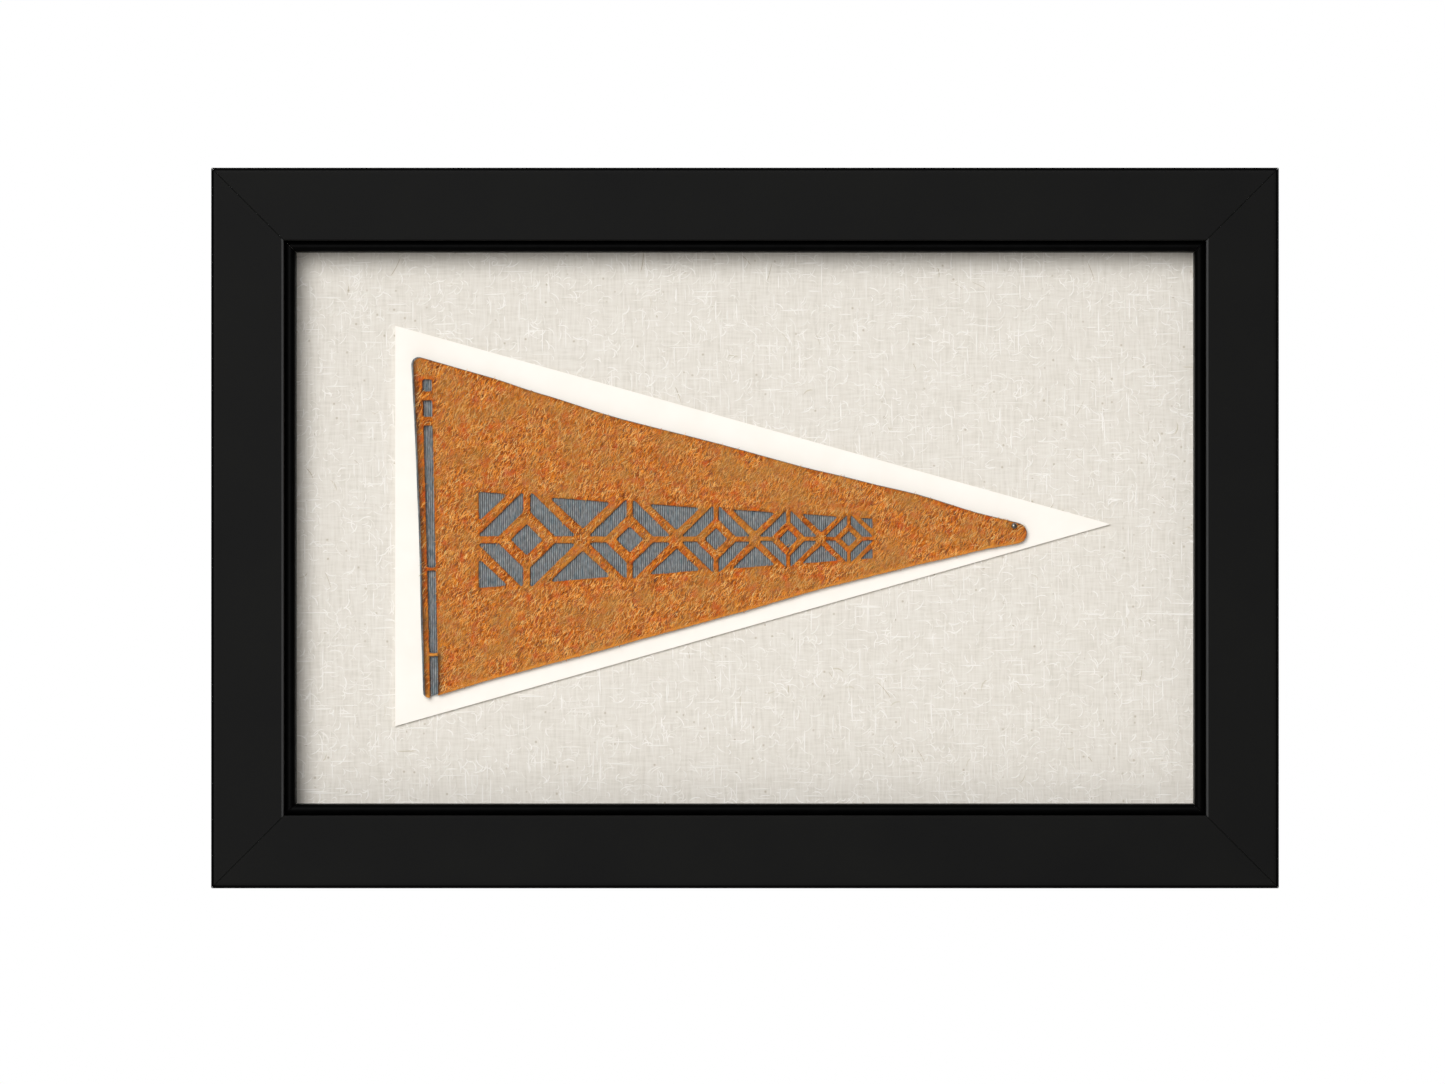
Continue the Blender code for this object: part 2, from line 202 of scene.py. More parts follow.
# The section, across from its outer side and up from the wall
lip = RAIL_WIDTH - LIP_WIDTH
section = [(0, 0), (0, FRAME_DEPTH - 2 * EDGE_ROUND)]
section += arc((EDGE_ROUND, FRAME_DEPTH - EDGE_ROUND), EDGE_ROUND, 180, 90, 5)
section += [(2 * EDGE_ROUND, FRAME_DEPTH), (lip - ARRIS_WIDTH, FRAME_DEPTH)]
section += arc((lip - ARRIS_ROUND, FRAME_DEPTH - ARRIS_ROUND), ARRIS_ROUND, 90, 0, 4)
section += [(lip, BEAD_FOOT + GROOVE_RISE)]
for step in range(BEAD_STEPS + 1):
    turn = math.pi * step / BEAD_STEPS
    across = lip + LIP_WIDTH * (1 - math.cos(turn)) / 2
    section.append((across, BEAD_FOOT + (BEAD_TOP - BEAD_FOOT) * math.sin(turn)))
section += [(RAIL_WIDTH, BEAD_FOOT - BEAD_DROP), (RAIL_WIDTH, RABBET_HEIGHT)]
section += [(RAIL_WIDTH - RABBET_WIDTH, RABBET_HEIGHT), (RAIL_WIDTH - RABBET_WIDTH, 0)]

# A stick of the section, one unit long, that the tree cuts to length and mitres
stick = bpy.data.meshes.new("Moulding stick")
count = len(section)
stick.from_pydata(
    [(x, y, z) for z in (-1, 1) for x, y in section],
    [],
    [tuple(range(count)), tuple(range(2 * count - 1, count - 1, -1))]
    + [(i, i + count, (i + 1) % count + count, (i + 1) % count) for i in range(count)],
)

mitre, given = new_tree(
    "Mitred moulding",
    "Rail",
    {
        "Stick": "Geometry",
        "Length": "Float",
        "Gap": "Float",
        "Lip": "Float",
        "Edge": "Float",
        "Face": "Material",
        "Bead": "Material",
        "Arris": "Material",
    },
)
spot = add_node(mitre, "GeometryNodeInputPosition").outputs["Position"]
parts = add_node(mitre, "ShaderNodeSeparateXYZ", links={"Vector": spot}).outputs
half = add_node(mitre, "ShaderNodeMath", {"operation": "MULTIPLY"}, {0: given["Length"], 1: 0.5})
short = add_node(
    mitre, "ShaderNodeMath", {"operation": "SUBTRACT"}, {0: half.outputs[0], 1: given["Gap"]}
)
reach = add_node(
    mitre, "ShaderNodeMath", {"operation": "SUBTRACT"}, {0: short.outputs[0], 1: parts["X"]}
)
end = add_node(
    mitre, "ShaderNodeMath", {"operation": "MULTIPLY"}, {0: reach.outputs[0], 1: parts["Z"]}
)
cut = add_node(
    mitre, "ShaderNodeCombineXYZ", links={"X": parts["X"], "Y": parts["Y"], "Z": end.outputs[0]}
)
shaped = add_node(
    mitre,
    "GeometryNodeSetPosition",
    links={"Geometry": given["Stick"], "Position": cut.outputs["Vector"]},
)
painted = add_node(
    mitre,
    "GeometryNodeSetMaterial",
    links={"Geometry": shaped.outputs["Geometry"], "Material": given["Face"]},
)
# Painted shade on the bead, and on the outer rounding but not on the flat side
beyond = add_node(
    mitre, "ShaderNodeMath", {"operation": "GREATER_THAN"}, {0: parts["X"], 1: given["Lip"]}
)
flank = add_node(
    mitre, "ShaderNodeMath", {"operation": "LESS_THAN"}, {0: parts["X"], 1: given["Edge"]}
)
turning = add_node(
    mitre, "ShaderNodeMath", {"operation": "GREATER_THAN"}, {0: parts["X"], 1: FLAT_SIDE}
)
rounding = add_node(
    mitre, "ShaderNodeMath", {"operation": "MULTIPLY"}, {0: flank.outputs[0], 1: turning.outputs[0]}
)
shaded = add_node(
    mitre,
    "ShaderNodeMath",
    {"operation": "MAXIMUM"},
    {0: beyond.outputs[0], 1: rounding.outputs[0]},
)
beaded = add_node(
    mitre,
    "GeometryNodeSetMaterial",
    links={
        "Geometry": painted.outputs["Geometry"],
        "Selection": shaded.outputs[0],
        "Material": given["Bead"],
    },
)
# Painted highlight on the arris, which ends at the lip
before = add_node(
    mitre, "ShaderNodeMath", {"operation": "SUBTRACT"}, {0: given["Lip"], 1: ARRIS_WIDTH}
)
past = add_node(
    mitre, "ShaderNodeMath", {"operation": "GREATER_THAN"}, {0: parts["X"], 1: before.outputs[0]}
)
within = add_node(
    mitre, "ShaderNodeMath", {"operation": "LESS_THAN"}, {0: parts["X"], 1: given["Lip"]}
)
on_arris = add_node(
    mitre, "ShaderNodeMath", {"operation": "MULTIPLY"}, {0: past.outputs[0], 1: within.outputs[0]}
)
arris_highlighted = add_node(
    mitre,
    "GeometryNodeSetMaterial",
    links={
        "Geometry": beaded.outputs["Geometry"],
        "Selection": on_arris.outputs[0],
        "Material": given["Arris"],
    },
)
add_node(mitre, "NodeGroupOutput", links={"Rail": arris_highlighted.outputs["Geometry"]})

frame_low, frame_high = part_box("rail_left")[0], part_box("rail_right")[1]
middle = Vector(((frame_low.x + frame_high.x) / 2, 0, (frame_low.z + frame_high.z) / 2))
frame_width, frame_height = frame_high.x - frame_low.x, frame_high.z - frame_low.z
forward = Vector((0, -1, 0))
for name, inward, length, reach, arris in (
    ("rail_top", Vector((0, 0, -1)), frame_width, frame_height / 2, lacquer),
    ("rail_bottom", Vector((0, 0, 1)), frame_width, frame_height / 2, lacquer),
    ("rail_left", Vector((1, 0, 0)), frame_height, frame_width / 2, arris_highlight_lacquer),
    ("rail_right", Vector((-1, 0, 0)), frame_height, frame_width / 2, arris_highlight_lacquer),
):
    blank = place_piece("blank", stick)
    mesh = made_by(
        mitre,
        blank,
        Length=length,
        Gap=MITRE_GAP,
        Lip=lip,
        Edge=EDGE_ROUND,
        Face=lacquer,
        Bead=bead_and_edge_shade_lacquer,
        Arris=arris,
    )
    bpy.data.objects.remove(blank)
    turn = Matrix((inward, forward, inward.cross(forward))).transposed().to_4x4()
    mesh.transform(Matrix.Translation(middle - inward * reach) @ turn)
    mesh.shade_smooth()
    mesh.set_sharp_from_angle(angle=math.radians(35))
    rail = place_piece("lacquered_" + name, mesh)
    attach(rail, "root")
    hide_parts(name)

# Backing board
# The plain hardboard in the rabbet, pressed from wood fibre with a screen behind it, which left a
# fine mesh in its rear face. It closes the frame and carries the linen.
SCREEN_PITCH = 0.0016


def dress(name, material):
    """Give a CAD node that stays in the picture its material."""
    materials = nodes[name].data.materials
    materials.clear()
    materials.append(material)


# Hardboard: dull brown fibre in fine flecks and soft clouds, with the screen's mesh in low relief
hardboard, tree, shader, place = new_material("Hardboard, pressed wood fibre")
fleck = add_node(tree, "ShaderNodeTexNoise", links={"Vector": place, "Scale": 1400, "Detail": 3})
cloud = add_node(tree, "ShaderNodeTexNoise", links={"Vector": place, "Scale": 45, "Detail": 5})
mixed = add_node(
    tree,
    "ShaderNodeMix",
    {"data_type": "FLOAT"},
    {0: 0.3, 2: fleck.outputs["Fac"], 3: cloud.outputs["Fac"]},
)
tone = add_node(
    tree,
    "ShaderNodeValToRGB",
    {"stops": [(0.3, "#66503a"), (0.5, "#7f6449"), (0.68, "#94785b")]},
    {"Fac": mixed.outputs[0]},
)
waves = []
for direction in ("X", "Z"):
    wave = add_node(
        tree,
        "ShaderNodeTexWave",
        {"bands_direction": direction},
        {"Vector": place, "Scale": 1 / SCREEN_PITCH / math.tau * math.pi, "Distortion": 0.4},
    )
    waves.append(wave.outputs["Fac"])
screen = add_node(tree, "ShaderNodeMath", {"operation": "MULTIPLY"}, {0: waves[0], 1: waves[1]})
pressed = add_node(
    tree,
    "ShaderNodeMath",
    {"operation": "MULTIPLY_ADD"},
    {0: fleck.outputs["Fac"], 1: 0.6, 2: screen.outputs[0]},
)
relief = add_node(
    tree,
    "ShaderNodeBump",
    links={"Height": pressed.outputs[0], "Strength": 0.5, "Distance": 0.0002},
)
fill(
    tree,
    shader,
    {
        "Base Color": tone.outputs["Color"],
        "Normal": relief.outputs["Normal"],
        "Roughness": 0.75,
    },
)
dress("backing_board", hardboard)

# Linen
# Natural linen, plain woven of slubby thread and stretched over the board. Thick threads stand a
# little proud, loose fibres lie on it, and bits of bark make its brown flecks.
THREAD_PITCH = 0.0008
THREAD_WANDER = 0.0016
THREAD_RELIEF = 0.00003
LINEN_STEP = 0.0011
LINEN_SWELL = 0.00006
LINEN_FORWARD = 0.00010
# Where strands grow on it: limits of the normal's Y, which is -1 where a cloth faces the viewer
WHOLE_LINEN = (-2.0, 2.0)

# Bleached linen: warm white and matt, with faint streaks both ways where a thread is thick or thin
linen, tree, shader, place = new_material("Natural linen, plain woven")
drift = add_node(tree, "ShaderNodeTexNoise", links={"Vector": place, "Scale": 60, "Detail": 2})
bend = add_node(
    tree,
    "ShaderNodeVectorMath",
    {"operation": "SCALE"},
    {0: drift.outputs["Color"], "Scale": THREAD_WANDER},
)
wander = add_node(
    tree, "ShaderNodeVectorMath", {"operation": "ADD"}, {0: place, 1: bend.outputs["Vector"]}
).outputs["Vector"]
threads = []
for stretch in ((1.0, 1.0, 0.09), (0.12, 1.0, 1.0)):
    along = add_node(tree, "ShaderNodeMapping", links={"Vector": wander, "Scale": stretch})
    thread = add_node(
        tree,
        "ShaderNodeTexNoise",
        links={"Vector": along.outputs["Vector"], "Scale": 1 / THREAD_PITCH, "Detail": 2},
    )
    threads.append(thread.outputs["Fac"])
weave = add_node(
    tree, "ShaderNodeMix", {"data_type": "FLOAT"}, {0: 0.45, 2: threads[0], 3: threads[1]}
)
tone = add_node(
    tree,
    "ShaderNodeValToRGB",
    {"stops": [(0.34, "#d8d2c7"), (0.48, "#e1dbd1"), (0.66, "#e8e3da")]},
    {"Fac": weave.outputs[0]},
)
bark = add_node(
    tree,
    "ShaderNodeTexVoronoi",
    {"feature": "F1"},
    {"Vector": wander, "Scale": 300, "Randomness": 1.0},
)
bark_here = add_node(
    tree,
    "ShaderNodeValToRGB",
    {"stops": [(0.05, 1.0), (0.16, 0.0)]},
    {"Fac": bark.outputs["Distance"]},
)
bark_kind = add_node(tree, "ShaderNodeSeparateColor", links={"Color": bark.outputs["Color"]})
bark_some = add_node(
    tree, "ShaderNodeMath", {"operation": "LESS_THAN"}, {0: bark_kind.outputs["Red"], 1: 0.4}
)
bark_mask = add_node(
    tree,
    "ShaderNodeMath",
    {"operation": "MULTIPLY"},
    {0: bark_here.outputs["Color"], 1: bark_some.outputs[0]},
)
bark_soft = add_node(
    tree, "ShaderNodeMath", {"operation": "MULTIPLY"}, {0: bark_mask.outputs[0], 1: 0.6}
)
flecked = add_node(
    tree,
    "ShaderNodeMix",
    {"data_type": "RGBA"},
    {0: bark_soft.outputs[0], 6: tone.outputs["Color"], 7: linear("#a99a80")},
)
relief = add_node(
    tree,
    "ShaderNodeBump",
    links={"Height": weave.outputs[0], "Strength": 0.35, "Distance": 0.0002},
)
fill(
    tree,
    shader,
    {
        "Base Color": flecked.outputs[2],
        "Normal": relief.outputs["Normal"],
        "Roughness": 0.92,
        "Sheen Weight": 0.08,
    },
)

low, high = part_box("linen_cloth")
mesh = bpy.data.meshes.new("stretched_linen")
shape = bmesh.new()
across, up = round((high.x - low.x) / LINEN_STEP), round((high.z - low.z) / LINEN_STEP)
grid = []
for row in range(up + 1):
    z = low.z + (high.z - low.z) * row / up
    line = []
    for column in range(across + 1):
        x = low.x + (high.x - low.x) * column / across
        swell = noise.noise((x * 25, 7.3, z * 25)) * LINEN_SWELL
        warp = noise.noise((x * 900, 1.7, z * 60)) * THREAD_RELIEF
        weft = noise.noise((x * 60, 4.1, z * 900)) * THREAD_RELIEF
        line.append(shape.verts.new((x, low.y - LINEN_FORWARD + swell + (warp + weft), z)))
    grid.append(line)
for lower, upper in zip(grid, grid[1:]):
    for a, b, c, d in zip(lower, lower[1:], upper[1:], upper):
        shape.faces.new((a, b, c, d))
shape.to_mesh(mesh)
shape.free()
mesh.attributes.new("cover", "FLOAT", "POINT").data.foreach_set("value", [1.0] * len(mesh.vertices))
mesh.shade_smooth()
mesh.materials.append(linen)
stretched = place_piece("stretched_linen", mesh)

# A strand lies along X and arches towards the viewer; its ends run down into the cloth
strand = bpy.data.meshes.new("Strand")
strand.from_pydata(
    [
        (-0.5, 0.10, 0),
        (-0.25, 0, -0.5),
        (-0.25, -0.5, 0),
        (-0.25, 0, 0.5),
        (0.2, 0, -0.42),
        (0.2, -0.5, 0.08),
        (0.2, 0, 0.58),
        (0.5, 0.10, 0.35),
    ],
    [],
    [
        (0, 1, 2),
        (0, 2, 3),
        (1, 4, 5, 2),
        (2, 5, 6, 3),
        (4, 7, 5),
        (5, 7, 6),
        (0, 3, 1),
        (1, 3, 6, 4),
        (4, 6, 7),
    ],
)
strand.shade_smooth()
strand_piece = place_piece("Strand", strand)

# A curled strand is bent sideways by some of its own widths
curl = bpy.data.meshes.new("Curled strand")
points = [(-0.5, 0.10, 0)]
for along, aside in ((-0.28, 1.7), (0.02, 2.5), (0.3, 1.9)):
    points += [(along, 0, aside - 0.5), (along, -0.5, aside), (along, 0, aside + 0.5)]
points.append((0.5, 0.10, 0.4))
faces = [(0, 1, 2), (0, 2, 3), (0, 3, 1), (7, 10, 8), (8, 10, 9), (9, 10, 7)]
for first in (1, 4):
    for a, b in ((0, 1), (1, 2), (2, 0)):
        faces.append((first + a, first + a + 3, first + b + 3, first + b))
curl.from_pydata(points, [], faces)
curl.shade_smooth()
curl_piece = place_piece("Curled strand", curl)

# Strands strewn on a cloth where its normal's Y lies between Front and Rear. They vary in length
# more than in width, lie within the spread of the angle, and lift a tip by as much as Lift
scatter, given = new_tree(
    "Strands on cloth",
    "Strands",
    {
        "Cloth": "Geometry",
        "Strand": "Object",
        "Seed": "Int",
        "Density": "Float",
        "Length": "Float",
        "Width": "Float",
        "Proud": "Float",
        "Angle": "Float",
        "Spread": "Float",
        "Lift": "Float",
        "Front": "Float",
        "Rear": "Float",
        "Darkest": "Float",
        "Material": "Material",
    },
)
normal = add_node(scatter, "GeometryNodeInputNormal").outputs["Normal"]
facing = add_node(scatter, "ShaderNodeSeparateXYZ", links={"Vector": normal}).outputs["Y"]
over = add_node(
    scatter, "ShaderNodeMath", {"operation": "GREATER_THAN"}, {0: facing, 1: given["Front"]}
)
under = add_node(
    scatter, "ShaderNodeMath", {"operation": "LESS_THAN"}, {0: facing, 1: given["Rear"]}
)
chosen = add_node(
    scatter, "ShaderNodeMath", {"operation": "MULTIPLY"}, {0: over.outputs[0], 1: under.outputs[0]}
)
cover = add_node(
    scatter, "GeometryNodeInputNamedAttribute", {"data_type": "FLOAT"}, {"Name": "cover"}
).outputs["Attribute"]
thinned = add_node(
    scatter, "ShaderNodeMath", {"operation": "MULTIPLY"}, {0: given["Density"], 1: cover}
)
spots = add_node(
    scatter,
    "GeometryNodeDistributePointsOnFaces",
    links={
        "Mesh": given["Cloth"],
        "Selection": chosen.outputs[0],
        "Density": thinned.outputs[0],
        "Seed": given["Seed"],
    },
)
low_angle = add_node(
    scatter, "ShaderNodeMath", {"operation": "SUBTRACT"}, {0: given["Angle"], 1: given["Spread"]}
)
high_angle = add_node(
    scatter, "ShaderNodeMath", {"operation": "ADD"}, {0: given["Angle"], 1: given["Spread"]}
)
spins = []
for seed in (11, 12):
    spin = add_node(
        scatter,
        "FunctionNodeRandomValue",
        {"data_type": "FLOAT"},
        {2: low_angle.outputs[0], 3: high_angle.outputs[0], "Seed": seed},
    )
    spins.append(spin.outputs[1])
spin = add_node(
    scatter, "ShaderNodeMix", {"data_type": "FLOAT"}, {0: 0.5, 2: spins[0], 3: spins[1]}
)
turned = add_node(scatter, "ShaderNodeCombineXYZ", links={"Y": spin.outputs[0]})
long = add_node(
    scatter, "FunctionNodeRandomValue", {"data_type": "FLOAT"}, {2: 0.45, 3: 1.35, "Seed": 21}
)
length = add_node(
    scatter, "ShaderNodeMath", {"operation": "MULTIPLY"}, {0: long.outputs[1], 1: given["Length"]}
)
thick = add_node(
    scatter, "FunctionNodeRandomValue", {"data_type": "FLOAT"}, {2: 0.7, 3: 1.3, "Seed": 22}
)
width = add_node(
    scatter, "ShaderNodeMath", {"operation": "MULTIPLY"}, {0: thick.outputs[1], 1: given["Width"]}
)
proud = add_node(
    scatter, "ShaderNodeMath", {"operation": "MULTIPLY"}, {0: thick.outputs[1], 1: given["Proud"]}
)
size = add_node(
    scatter,
    "ShaderNodeCombineXYZ",
    links={"X": length.outputs[0], "Y": proud.outputs[0], "Z": width.outputs[0]},
)
info = add_node(
    scatter, "GeometryNodeObjectInfo", links={"Object": given["Strand"], "As Instance": True}
)
placed = add_node(
    scatter,
    "GeometryNodeInstanceOnPoints",
    links={
        "Points": spots.outputs["Points"],
        "Instance": info.outputs["Geometry"],
        "Rotation": turned.outputs["Vector"],
        "Scale": size.outputs["Vector"],
    },
)
tip = add_node(
    scatter,
    "FunctionNodeRandomValue",
    {"data_type": "FLOAT"},
    {2: 0.0, 3: given["Lift"], "Seed": 31},
)
lifted = add_node(scatter, "ShaderNodeCombineXYZ", links={"Z": tip.outputs[1]})
leaning = add_node(
    scatter,
    "GeometryNodeRotateInstances",
    links={"Instances": placed.outputs["Instances"], "Rotation": lifted.outputs["Vector"]},
)
shade = add_node(
    scatter,
    "FunctionNodeRandomValue",
    {"data_type": "FLOAT"},
    {2: given["Darkest"], 3: 1.0, "Seed": 41},
)
named = add_node(
    scatter,
    "GeometryNodeStoreNamedAttribute",
    {"data_type": "FLOAT", "domain": "INSTANCE"},
    {"Geometry": leaning.outputs["Instances"], "Name": "shade", "Value": shade.outputs[1]},
)
real = add_node(
    scatter, "GeometryNodeRealizeInstances", links={"Geometry": named.outputs["Geometry"]}
)
dyed = add_node(
    scatter,
    "GeometryNodeSetMaterial",
    links={"Geometry": real.outputs["Geometry"], "Material": given["Material"]},
)
add_node(scatter, "NodeGroupOutput", links={"Strands": dyed.outputs["Geometry"]})

# Bleached flax: pale and a little shiny, with a duller fibre here and there
flax, tree, shader, place = new_material("Flax fibre")
each = add_node(tree, "ShaderNodeAttribute", {"attribute_name": "shade"})
tone = add_node(
    tree,
    "ShaderNodeValToRGB",
    {"stops": [(0.0, "#cfc6b4"), (0.006, "#dcd5c8"), (0.012, "#e8e3da"), (1.0, "#f5f1eb")]},
    {"Fac": each.outputs["Fac"]},
)
fill(tree, shader, {"Base Color": tone.outputs["Color"], "Roughness": 0.8, "Sheen Weight": 0.1})

# Strands of bark were spun in with the flax, and are darker
bark_strip, tree, shader, place = new_material("Flax bark")
fill(tree, shader, {"Base Color": linear("#b9ab92"), "Roughness": 0.85})

# Loose fibres curl on the linen. Its slubs, the thick places of a thread, lie up or across it
linen_pieces = []
for name, kind, stuff, seed, density, length, width, proud, angle, spread in (
    ("linen_fibres", curl_piece, flax, 5, 1.15e5, 0.0038, 0.00036, 0.00013, 90, 180),
    ("linen_slubs_up", strand_piece, flax, 13, 1.5e4, 0.0085, 0.00036, 0.00015, 90, 3),
    ("linen_slubs_across", strand_piece, flax, 14, 1.5e4, 0.0085, 0.00036, 0.00015, 0, 3),
    ("linen_bark", curl_piece, bark_strip, 8, 500.0, 0.0060, 0.00015, 0.00015, 80, 60),
):
    made = made_by(
        scatter,
        stretched,
        Strand=kind,
        Seed=seed,
        Density=density,
        Length=length,
        Width=width,
        Proud=proud,
        Angle=math.radians(angle),
        Spread=math.radians(spread),
        Lift=math.radians(0.2),
        Darkest=0.0,
        Front=WHOLE_LINEN[0],
        Rear=WHOLE_LINEN[1],
        Material=stuff,
    )
    made.shade_flat()
    linen_pieces.append(place_piece(name, made))
for piece in (stretched, *linen_pieces):
    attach(piece, "root")
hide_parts("linen_cloth")

# Card
# A triangle of cream card, uncoated and cut with a knife, that sets the pennant off from the linen.
# It has hardly any tooth, and its cut edges are square.

# Uncoated card: warm white and matt, a little cloudy, with its pulp in a very low relief
card, tree, shader, place = new_material("Uncoated card, cream")
pulp = add_node(tree, "ShaderNodeTexNoise", links={"Vector": place, "Scale": 1600, "Detail": 4})
cloud = add_node(tree, "ShaderNodeTexNoise", links={"Vector": place, "Scale": 90, "Detail": 3})
tone = add_node(
    tree,
    "ShaderNodeValToRGB",
    {"stops": [(0.3, "#fbf5ec"), (0.7, "#fef9f1")]},
    {"Fac": cloud.outputs["Fac"]},
)
relief = add_node(
    tree,
    "ShaderNodeBump",
    links={"Height": pulp.outputs["Fac"], "Strength": 0.15, "Distance": 0.0001},
)
fill(
    tree,
    shader,
    {
        "Base Color": tone.outputs["Color"],
        "Normal": relief.outputs["Normal"],
        "Roughness": 0.85,
        "Specular IOR Level": 0.3,
    },
)
dress("card_triangle", card)

# Ground cloth
# The pennant's own cloth: a grey-blue union of cotton and wool in a vertical rib weave, whole under
# the felt and glued to the card. Its edge shows as a thin grey rim round the felt.
RIB_PITCH = 0.0007
RIB_HEIGHT = 0.00022
RIB_SWAY = 0.0005
COLUMNS_PER_RIB = 4
CLOTH_ROWS = 34
RIBBED_DEPTH = 0.0005
END_INSET = 1e-5
BOTTOM_INSET = 0.0003
SPECK_LENGTH = 0.0011
CUT_ABOVE_REAR = 0.00045


def cut_loops(node):
    """A CAD sheet's outline and holes at about half its thickness, each a closed list of (x, z)."""
    low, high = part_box(node)
    shape = bmesh.new()
    shape.from_mesh(nodes[node].data)
    bmesh.ops.remove_doubles(shape, verts=shape.verts, dist=1e-6)
    cut = bmesh.ops.bisect_plane(
        shape,
        geom=[*shape.verts, *shape.edges, *shape.faces],
        plane_co=(0, high.y - CUT_ABOVE_REAR, 0),
        plane_no=(0, 1, 0),
    )
    lines = [g for g in cut["geom_cut"] if isinstance(g, bmesh.types.BMEdge)]
    beside = {}
    for line in lines:
        a, b = line.verts
        beside.setdefault(a, []).append(b)
        beside.setdefault(b, []).append(a)
    loops = []
    left = dict.fromkeys(beside)
    while left:
        start = next(iter(left))
        loop, before, here = [start], None, start
        while True:
            del left[here]
            onward = [v for v in beside[here] if v is not before and v in left]
            if not onward:
                break
            before, here = here, onward[0]
            loop.append(here)
        loops.append([(v.co.x, v.co.z) for v in loop])
    shape.free()
    return sorted(loops, key=lambda loop: -abs(signed_area(loop)))


def signed_area(loop):
    """The area in a loop, positive where it runs counter-clockwise."""
    return sum(a[0] * b[1] - b[0] * a[1] for a, b in zip(loop, loop[1:] + loop[:1])) / 2


# Cotton and wool dyed apart and spun together: heathered grey and blue, with painted shade in the
# # furrows and a little painted light on the crowns of the ribs
ribbed, tree, shader, place = new_material("Grey-blue rib weave, cotton and wool")
along = add_node(tree, "ShaderNodeMapping", links={"Vector": place, "Scale": (1, 1, 0.3)})
yarn = add_node(
    tree,
    "ShaderNodeTexNoise",
    links={
        "Vector": along.outputs["Vector"],
        "Scale": 1 / RIB_PITCH,
        "Detail": 3,
        "Roughness": 0.65,
    },
)
tone = add_node(
    tree,
    "ShaderNodeValToRGB",
    {
        "stops": [
            (0.28, "#3c3f42"),
            (0.42, "#65696c"),
            (0.52, "#85898b"),
            (0.64, "#a0a3a3"),
            (0.78, "#c4c4c0"),
        ]
    },
    {"Fac": yarn.outputs["Fac"]},
)
crown = add_node(tree, "ShaderNodeAttribute", {"attribute_name": "crown"})
# Painted shade: the colour darkens into the furrows between the ribs and lightens a little on their
# crowns
furrow_shade = add_node(
    tree,
    "ShaderNodeMapRange",
    links={
        "Value": crown.outputs["Fac"],
        "From Min": 0.3,
        "From Max": 0.85,
        "To Min": 0.34,
        "To Max": 1.1,
    },
)
speck = add_node(
    tree,
    "ShaderNodeTexNoise",
    links={"Vector": along.outputs["Vector"], "Scale": 1 / SPECK_LENGTH, "Detail": 2},
)
tint = add_node(
    tree,
    "ShaderNodeValToRGB",
    {
        "stops": [
            (0.30, "#587a88"),
            (0.42, "#78858a"),
            (0.55, "#868580"),
            (0.62, "#7c7b88"),
            (0.72, "#5f8788"),
        ]
    },
    {"Fac": speck.outputs["Fac"]},
)
heathered = add_node(
    tree,
    "ShaderNodeMix",
    {"data_type": "RGBA"},
    {0: 0.4, 6: tone.outputs["Color"], 7: tint.outputs["Color"]},
)
shaded = add_node(
    tree,
    "ShaderNodeVectorMath",
    {"operation": "SCALE"},
    {0: heathered.outputs[2], "Scale": furrow_shade.outputs["Result"]},
)
relief = add_node(
    tree,
    "ShaderNodeBump",
    links={"Height": yarn.outputs["Fac"], "Strength": 0.6, "Distance": 0.00015},
)
fill(
    tree,
    shader,
    {
        "Base Color": shaded.outputs["Vector"],
        "Normal": relief.outputs["Normal"],
        "Roughness": 0.9,
        "Sheen Weight": 0.1,
    },
)

# Rounded ribs that run up the cloth, a little crooked, with furrows sunk in its front between them
ribs, given = new_tree(
    "Rib weave",
    "Ribbed cloth",
    {
        "Cloth": "Geometry",
        "Pitch": "Float",
        "Height": "Float",
        "Front": "Float",
        "Material": "Material",
    },
)
spot = add_node(ribs, "GeometryNodeInputPosition").outputs["Position"]
parts = add_node(ribs, "ShaderNodeSeparateXYZ", links={"Vector": spot}).outputs
uneven = add_node(ribs, "ShaderNodeTexNoise", links={"Vector": spot, "Scale": 160.0, "Detail": 2.0})
sway = add_node(
    ribs,
    "ShaderNodeMath",
    {"operation": "MULTIPLY_ADD"},
    {0: uneven.outputs["Fac"], 1: RIB_SWAY, 2: parts["X"]},
)
turns = add_node(
    ribs, "ShaderNodeMath", {"operation": "DIVIDE"}, {0: sway.outputs[0], 1: given["Pitch"]}
)
angle = add_node(
    ribs, "ShaderNodeMath", {"operation": "MULTIPLY"}, {0: turns.outputs[0], 1: math.pi}
)
wave = add_node(ribs, "ShaderNodeMath", {"operation": "SINE"}, {0: angle.outputs[0]})
crown = add_node(ribs, "ShaderNodeMath", {"operation": "ABSOLUTE"}, {0: wave.outputs[0]})
rise = add_node(
    ribs, "ShaderNodeMath", {"operation": "MULTIPLY"}, {0: crown.outputs[0], 1: given["Height"]}
)
sunk = add_node(
    ribs, "ShaderNodeMath", {"operation": "SUBTRACT"}, {0: given["Height"], 1: rise.outputs[0]}
)
back = add_node(ribs, "ShaderNodeCombineXYZ", links={"Y": sunk.outputs[0]})
on_front = add_node(
    ribs, "ShaderNodeMath", {"operation": "LESS_THAN"}, {0: parts["Y"], 1: given["Front"]}
)
marked = add_node(
    ribs,
    "GeometryNodeStoreNamedAttribute",
    {"data_type": "FLOAT", "domain": "POINT"},
    {"Geometry": given["Cloth"], "Name": "crown", "Value": crown.outputs[0]},
)
shaped = add_node(
    ribs,
    "GeometryNodeSetPosition",
    links={
        "Geometry": marked.outputs["Geometry"],
        "Selection": on_front.outputs[0],
        "Offset": back.outputs["Vector"],
    },
)
woven = add_node(
    ribs,
    "GeometryNodeSetMaterial",
    links={"Geometry": shaped.outputs["Geometry"], "Material": given["Material"]},
)
add_node(ribs, "NodeGroupOutput", links={"Ribbed cloth": woven.outputs["Geometry"]})

